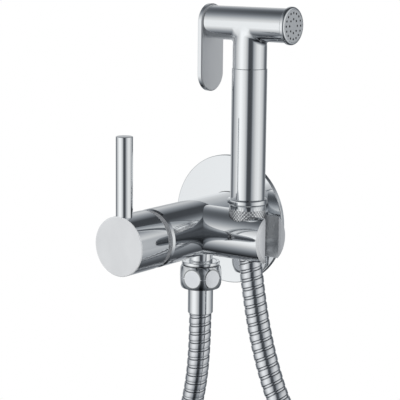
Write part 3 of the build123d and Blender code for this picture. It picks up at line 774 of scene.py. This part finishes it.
# turn of a ring of holes: the mean of the angles of the points near it, times the count, over the count
def holeTurn(count, ringR):
    y, z = (readAll(kept["sprayFace"].data.vertices, "co", 3)[:, 1:] - sprayHoles["centre"]).T
    near = abs(np.hypot(y, z) - ringR) < sprayHoles["near"]
    return float(np.angle(np.exp(1j * count * np.arctan2(z[near], y[near])).mean())) / count


# painted shade of the holes: dark round each hole of a plate that faces X. o being the angle from the nearest hole
# of a ring of radius R, the distance to that hole's middle is sqrt((r cos o - R)^2 + (r sin o)^2).
def holeShaded(plain, holes):
    def build(tree, shader):
        def calc(operation, *values):
            return maths(tree, operation, *values)

        def length(first, second):
            return calc("SQRT", calc("ADD", calc("MULTIPLY", first, first), calc("MULTIPLY", second, second)))

        plain(tree, shader)
        place = parted(tree, objectCoordinates(tree))
        y = calc("SUBTRACT", place["Y"], holes["centre"][0])
        z = calc("SUBTRACT", place["Z"], holes["centre"][1])
        r, angle = length(y, z), calc("ARCTAN2", z, y)
        nearest = None
        for count, ringR in holes["rings"]:
            half = math.pi / count
            off = calc("WRAP", calc("SUBTRACT", angle, holeTurn(count, ringR)), half, -half)
            along = calc("SUBTRACT", calc("MULTIPLY", r, calc("COSINE", off)), ringR)
            reach = length(calc("MULTIPLY", r, calc("SINE", off)), along)
            nearest = calc("MINIMUM", nearest, reach) if nearest else reach
        rim = mapped(tree, nearest, holes["inside"], holes["outside"], holes["share"], 0.0)
        tree.links.new(mixColour(tree, rim, holes["plate"], holes["dark"]), shader.inputs["Base Color"])
    return build


# fine rings left by a lathe round the Y axis: noise read at the distance from it, on a cloudy colour
def turnedSatin(colour, clouded, smooth, rough, distance):
    def build(tree, shader):
        shader.inputs["Metallic"].default_value = 1.0
        cloud = noiseRange(tree, objectCoordinates(tree, (90, 90, 45)), 1.0, 0.0, 1.0)
        cloudy = mixColour(tree, cloud, colour, [value * clouded for value in colour])
        tree.links.new(cloudy, shader.inputs["Base Color"])
        place = objectCoordinates(tree)
        parts = parted(tree, place)
        flat = addNode(tree, "ShaderNodeCombineXYZ", {"X": parts["X"], "Y": parts["Z"]}).outputs["Vector"]
        radius = addNode(tree, "ShaderNodeVectorMath", {0: flat}, operation="LENGTH").outputs["Value"]
        ring = addNode(tree, "ShaderNodeCombineXYZ", {"X": radius}).outputs["Vector"]
        addBump(tree, shader, noiseAt(tree, ring, 2600.0, 3.0), distance)
        tree.links.new(noiseRange(tree, place, 40.0, smooth, rough), shader.inputs["Roughness"])
    return build


# rubber, plastic or ceramic: slightly uneven colour and a fine grain
def moulded(colour, darker, rough, grain=900.0, distance=0.00002):
    def build(tree, shader):
        place = objectCoordinates(tree)
        uneven = mixColour(tree, noiseRange(tree, place, 70.0, 0.0, 1.0), colour, darker)
        tree.links.new(uneven, shader.inputs["Base Color"])
        shader.inputs["Roughness"].default_value = rough
        addBump(tree, shader, noiseAt(tree, place, grain, 2.0), distance, 0.6)
    return build


chromeColour = (0.895, 0.905, 0.915)
paintedShadeGrey = (0.66, 0.67, 0.69)
finishBuilds = {
    "polishedChrome": metal(chromeColour, 0.035, 0.06, waves=(22.0, 0.00004)),
    # painted shade: the hose's chrome goes nearly black down in the gaps between its turns
    "hoseChrome": grooveShaded((0.79, 0.80, 0.82), 0.06, 0.12, (0.02, 0.022, 0.025), spread=0.55),
    # painted reflection and shade: dark lines round the nut's flats and in the groove under its collar
    "edgedChrome": grooveShaded(chromeColour, 0.05, 0.09, (0.12, 0.125, 0.13), spread=0.7),
    # painted highlight and shade: white on the knurl's tops, grey down in its valleys
    "knurledChrome": grooveShaded((1.0, 1.0, 1.0), 0.26, 0.34, (0.45, 0.455, 0.47)),
    # painted shade: a darker, half-metal grey on the dome ring and the body's front face, in the gap behind the
    # lever cap
    "dullRing": metal(paintedShadeGrey, 0.24, 0.34, smudge=160.0, metallic=0.6),
    "satinFace": turnedSatin((0.885, 0.885, 0.895), 0.93, 0.26, 0.34, 0.000003),
    "brushedTrigger": metal((0.88, 0.885, 0.895), 0.36, 0.44, grain=((1500, 1500, 25), 0.000004)),
    "satinSpray": holeShaded(metal(sprayHoles["plate"], 0.38, 0.46, grain=((900, 900, 900), 0.000004)), sprayHoles),
    "milledFlat": metal((0.84, 0.85, 0.875), 0.2, 0.32, grain=((1800, 1800, 1800), 0.000006)),
    # painted highlight: a near-white, mostly non-metallic finish with turned lines on the lever cap's front bevel,
    # so that it shows bright
    "turnedEnd": metal((0.94, 0.945, 0.955), 0.2, 0.3, grain=((1500, 1500, 40), 0.000004), metallic=0.35),
    # painted shade across the arm's end, from light at the front rim to darker at the slot
    "armEnd": shadeFading(metal(paintedShadeGrey, 0.24, 0.34, grain=((1500, 700, 40), 0.00002), metallic=0.35), armEndShadeFade),
    # unpolished cast metal inside the lever cap and the arm's bore; its darker grey is partly painted shade of
    # these hollows
    "castInside": metal((0.68, 0.695, 0.71), 0.3, 0.42, grain=((900, 900, 60), 0.00002)),
    "bareBrass": metal((0.80, 0.62, 0.33), 0.2, 0.35, smudge=120.0),
    "stainless": metal((0.62, 0.62, 0.63), 0.22, 0.34, smudge=120.0),
    "blackRubber": moulded((0.02, 0.02, 0.02), (0.035, 0.035, 0.034), 0.7),
    "whitePlastic": moulded((0.85, 0.86, 0.86), (0.78, 0.79, 0.79), 0.4),
    "ceramic": moulded((0.88, 0.88, 0.86), (0.84, 0.84, 0.82), 0.12, 1500.0, 0.000004),
}
finishes = {name: makeFinish(name, build) for name, build in finishBuilds.items()}
slotFinish = {
    "polished_chrome": "polishedChrome", "hose_steel": "hoseChrome", "bare_brass": "bareBrass",
    "black_rubber": "blackRubber", "cartridge_plastic": "whitePlastic", "ceramic": "ceramic",
    "stainless_steel": "stainless",
}
triggerEdges = {"width": 0.55, "segments": 3, "sameFace": 0.5, "sharpFrom": 35, "bevelFrom": 50}  # mm, degrees


# makes each flat face one again and rounds the corners between the faces
def softenEdges(piece, edges):
    form = bmesh.new()
    form.from_mesh(piece.data)
    limit = math.radians(edges["sameFace"])
    bmesh.ops.dissolve_limit(form, angle_limit=limit, verts=form.verts, edges=form.edges)
    form.to_mesh(piece.data)
    form.free()
    if "custom_normal" in piece.data.attributes:
        piece.data.attributes.remove(piece.data.attributes["custom_normal"])
    piece.data.set_sharp_from_angle(angle=math.radians(edges["sharpFrom"]))
    soft = piece.modifiers.new("softEdges", "BEVEL")
    soft.width = edges["width"] * mm
    soft.segments = edges["segments"]
    soft.limit_method = "ANGLE"
    soft.angle_limit = math.radians(edges["bevelFrom"])
    soft.harden_normals = True


softenEdges(kept["triggerPlate"], triggerEdges)


def dress(piece, finish):
    piece.data.materials.clear()
    piece.data.materials.append(finishes[finish])


for piece in list(bpy.context.scene.objects):
    if piece.type == "MESH" and "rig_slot" in piece:
        dress(piece, slotFinish[piece["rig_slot"]])
for node, piece in frame["nodes"].items():
    if not piece.hide_render:
        for index in range(len(piece.data.materials)):
            piece.data.materials[index] = finishes[slotFinish[slotOf[node]]]


# a second finish on the facets whose middles (mm) and normals pass the test
def addFinish(piece, finish, chosen):
    piece.data.materials.append(finishes[finish])
    facets = piece.data.polygons
    index = readAll(facets, "material_index", kind=int)
    index[chosen(readAll(facets, "center", 3) / mm, readAll(facets, "normal", 3))] = len(piece.data.materials) - 1
    facets.foreach_set("material_index", index)


def fromLine(middle, line):
    origin, direction = line
    return np.linalg.norm(np.cross(middle - np.array(origin), np.array(direction)), axis=1)


# where the second finishes start and end, in mm. The bare numbers in the tests are shares of a facet's normal.
zones = {
    "knurlTop": 17.6, "knurlR": 10.0, "flatsR": 13.1, "bodyFront": -85.3,
    "capHollowR": 18.3, "capHollowEnd": -115.5, "capFace": -115.8, "capBevel": -114.5,
    "armEnd": 59.1, "armHollowR": 15.8, "armHollowStart": 22.0, "sprayR": 9.0,
}


def onArmEnd(middle, normal):
    return (normal[:, 0] > 0.5) & (middle[:, 0] > zones["armEnd"])


def inArmHollow(middle, normal):
    hollow = (fromLine(middle, armLine) < zones["armHollowR"]) & (middle[:, 0] > zones["armHollowStart"])
    return hollow & (abs(normal[:, 0]) < 0.95) & ~onArmEnd(middle, normal)


dress(hoseNut, "edgedChrome")
dress(turned["domeRing"], "dullRing")
dress(kept["triggerPlate"], "brushedTrigger")
dress(kept["sprayFace"], "satinSpray")
addFinish(coneNut, "knurledChrome", lambda middle, normal: (middle[:, 2] < zones["knurlTop"])
          & (fromLine(middle, sprayLine) > zones["knurlR"]))
addFinish(hoseNut, "milledFlat", lambda middle, normal: (abs(normal[:, 2]) < 0.002)
          & (fromLine(middle, outletLine) > zones["flatsR"]))
# the body's front face, in the gap behind the lever cap, takes the painted shade
addFinish(kept["mixerBody"], "dullRing", lambda middle, normal: (normal[:, 1] < -0.98)
          & (middle[:, 1] < zones["bodyFront"]))
addFinish(kept["leverCap"], "castInside", lambda middle, normal: (fromLine(middle, bodyAxis) < zones["capHollowR"])
          & (middle[:, 1] > zones["capHollowEnd"]))
addFinish(kept["leverCap"], "satinFace", lambda middle, normal: (normal[:, 1] < -0.99)
          & (middle[:, 1] < zones["capFace"]))
addFinish(kept["leverCap"], "turnedEnd", lambda middle, normal: (abs(normal[:, 1] + 0.6) < 0.389)
          & (middle[:, 1] < zones["capBevel"]))
addFinish(kept["holderArm"], "armEnd", onArmEnd)
addFinish(kept["holderArm"], "castInside", inArmHollow)
addFinish(kept["triggerPlate"], "polishedChrome", lambda middle, normal: abs(normal[:, 0]) < 0.6)
# painted shade: the holes' walls are black
addFinish(kept["sprayFace"], "blackRubber", lambda middle, normal: (abs(normal[:, 0]) < 0.5)
          & (fromLine(middle, headLine) < zones["sprayR"]))
print("finishes given")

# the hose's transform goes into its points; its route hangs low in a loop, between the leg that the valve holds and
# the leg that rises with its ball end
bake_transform(ribbedHose)

# studio: a pale round floor well below, soft light from two sides, and a surround that is white to the camera,
# even on matt surfaces, and has light walls and dark screens in the chrome
studio = {
    "floorZ": -0.62, "floorR": 1.35, "floorRings": 24, "floorSides": 96,  # m
    "floorColour": (0.86, 0.86, 0.86), "floorRough": 0.9,
    "turn": photoView["azimuth"],  # degrees, the surround's front faces the photo's camera
    # brightness by degrees to the right of the camera: a dark strip behind the camera, broad light walls
    # at both sides, dark screens behind the part to its left and right
    "level": [(-180, 0.5), (-142, 0.45), (-137, 0.1), (-128, 0.1), (-112, 0.4), (-80, 0.82), (-64, 1.0), (-54, 1.0),
              (-30, 0.75), (-15, 0.42), (-10, 0.13), (-5, 0.07), (10, 0.07), (18, 0.12), (23, 0.33), (49, 0.75),
              (70, 0.85), (97, 0.6), (118, 0.16), (138, 0.12), (152, 0.3)],
    "below": [(-180, 0.5), (-142, 0.4), (-137, 0.12), (-128, 0.12), (-112, 0.4), (-72, 0.95), (-50, 0.95),
              (-15, 0.4), (-10, 0.12), (-5, 0.05), (10, 0.05), (18, 0.1), (24, 0.35), (60, 0.85), (84, 0.72),
              (112, 0.42), (134, 0.16), (156, 0.12), (168, 0.3)],
    "above": [(-180, 0.62), (-150, 0.5), (-104, 0.62), (-50, 0.9), (-30, 0.65), (-9, 0.1), (10, 0.08), (24, 0.36),
              (60, 0.8), (104, 0.7), (122, 0.22), (132, 0.12), (152, 0.12), (163, 0.35)],
    # degrees of height over which the level ring changes into the one below and the one above
    "toBelow": (-11.5, -15.0), "toAbove": (9.0, 18.0),
    # share of the brightness that remains by degrees above or below the horizon
    "height": [(-90, 0.08), (-60, 0.1), (-48, 0.32), (-36, 0.58), (-24, 0.88), (-16, 1.0), (16, 1.0), (24, 0.88),
               (36, 0.58), (48, 0.32), (60, 0.1), (90, 0.08)],
    "diffuseLevel": 0.72,
    # the dark parts are a little blue, up to the brightness at which the tint has cleared
    "darkTint": (0.9, 1.0, 1.13), "lightTint": (0.98, 1.0, 1.01), "clearFrom": 0.625,
}


def fillRamp(ramp, stops, place):
    while len(ramp.elements) > 1:
        ramp.elements.remove(ramp.elements[-1])
    for number, (angle, level) in enumerate(stops):
        position = place(angle)
        element = ramp.elements[0] if number == 0 else ramp.elements.new(position)
        element.position = position
        element.color = (level, level, level, 1)


def makeSurround(settings):
    world = bpy.data.worlds.new("surround")
    bpy.context.scene.world = world
    world.use_nodes = True
    tree = world.node_tree
    tree.nodes.clear()
    way = addNode(tree, "ShaderNodeTexCoord").outputs["Generated"]
    turn = {"Vector": way, "Angle": -math.radians(settings["turn"])}
    facing = addNode(tree, "ShaderNodeVectorRotate", turn, rotation_type="Z_AXIS").outputs["Vector"]
    parts = parted(tree, facing)

    def ramp(value, stops, place):
        node = addNode(tree, "ShaderNodeValToRGB", {"Fac": value})
        fillRamp(node.color_ramp, stops, place)
        return node.outputs["Color"]

    def heightShare(degrees):
        start, end = (math.sin(math.radians(value)) for value in degrees)
        return mapped(tree, parts["Z"], start, end, interpolation_type="SMOOTHSTEP")

    angle = maths(tree, "ARCTAN2", parts["X"], maths(tree, "MULTIPLY", parts["Y"], -1.0))
    circle = mapped(tree, angle, -math.pi, math.pi)
    rings = [ramp(circle, settings[key] + [(180, settings[key][0][1])], lambda degrees: (degrees + 180) / 360)
             for key in ("level", "below", "above")]
    lower = mixNumber(tree, heightShare(settings["toBelow"]), rings[0], rings[1])
    level = mixNumber(tree, heightShare(settings["toAbove"]), lower, rings[2])
    remaining = ramp(mapped(tree, parts["Z"], -1.0, 1.0), settings["height"],
                     lambda degrees: (math.sin(math.radians(degrees)) + 1) / 2)
    reflected = maths(tree, "MULTIPLY", level, remaining)
    rays = addNode(tree, "ShaderNodeLightPath").outputs
    glossy = maths(tree, "MAXIMUM", rays["Is Glossy Ray"], rays["Is Transmission Ray"])
    indoors = mixNumber(tree, glossy, settings["diffuseLevel"], reflected)
    seen = mixNumber(tree, rays["Is Camera Ray"], indoors, 1.0)
    clear = maths(tree, "MULTIPLY", seen, 1 / settings["clearFrom"], use_clamp=True)
    tint = mixColour(tree, clear, settings["darkTint"], settings["lightTint"])
    plain = {0: rays["Is Camera Ray"], 6: tint, 7: (1, 1, 1, 1)}
    colour = addNode(tree, "ShaderNodeMix", plain, data_type="RGBA").outputs[2]
    light = addNode(tree, "ShaderNodeBackground", {"Color": colour, "Strength": seen}).outputs["Background"]
    addNode(tree, "ShaderNodeOutputWorld", {"Surface": light})


# round floor: x = r cos t, y = r sin t on rings of growing radius
def makeFloor(settings):
    rings, sides, height = settings["floorRings"], settings["floorSides"], settings["floorZ"]
    radius = np.linspace(0, 1, rings + 1)[1:, None] * settings["floorR"]
    angle = np.linspace(0, 2 * np.pi, sides, endpoint=False)
    points = np.vstack([around(radius, angle, height + 0 * radius), [0, 0, height]])
    faces = gridFaces(rings, sides)[:, ::-1].tolist()
    faces += [[len(points) - 1, index, (index + 1) % sides] for index in range(sides)]
    floor = meshFrom("studioFloor", points, faces)
    floor.visible_glossy = False
    colour = settings["floorColour"]
    floor.data.materials.append(makeFinish("paleFloor", moulded(colour, colour, settings["floorRough"])))


lamps = {  # m and W
    "leftSoftbox": {"place": (-1.2, -1.3, 1.2), "size": 1.2, "power": 16},
    "rightSoftbox": {"place": (1.6, -0.9, 1.0), "size": 1.0, "power": 8},
}
lampTarget = (0.05, -0.05, -0.1)


def makeLamp(name, settings):
    data = bpy.data.lights.new(name, "AREA")
    data.size = settings["size"]
    data.energy = settings["power"]
    lamp = addObject(name, data)
    lamp.location = settings["place"]
    way = Vector(lampTarget) - Vector(settings["place"])
    lamp.rotation_euler = way.to_track_quat("-Z", "Y").to_euler()
    lamp.visible_glossy = False


makeSurround(studio)
makeFloor(studio)
for name, settings in lamps.items():
    makeLamp(name, settings)
print("studio made")
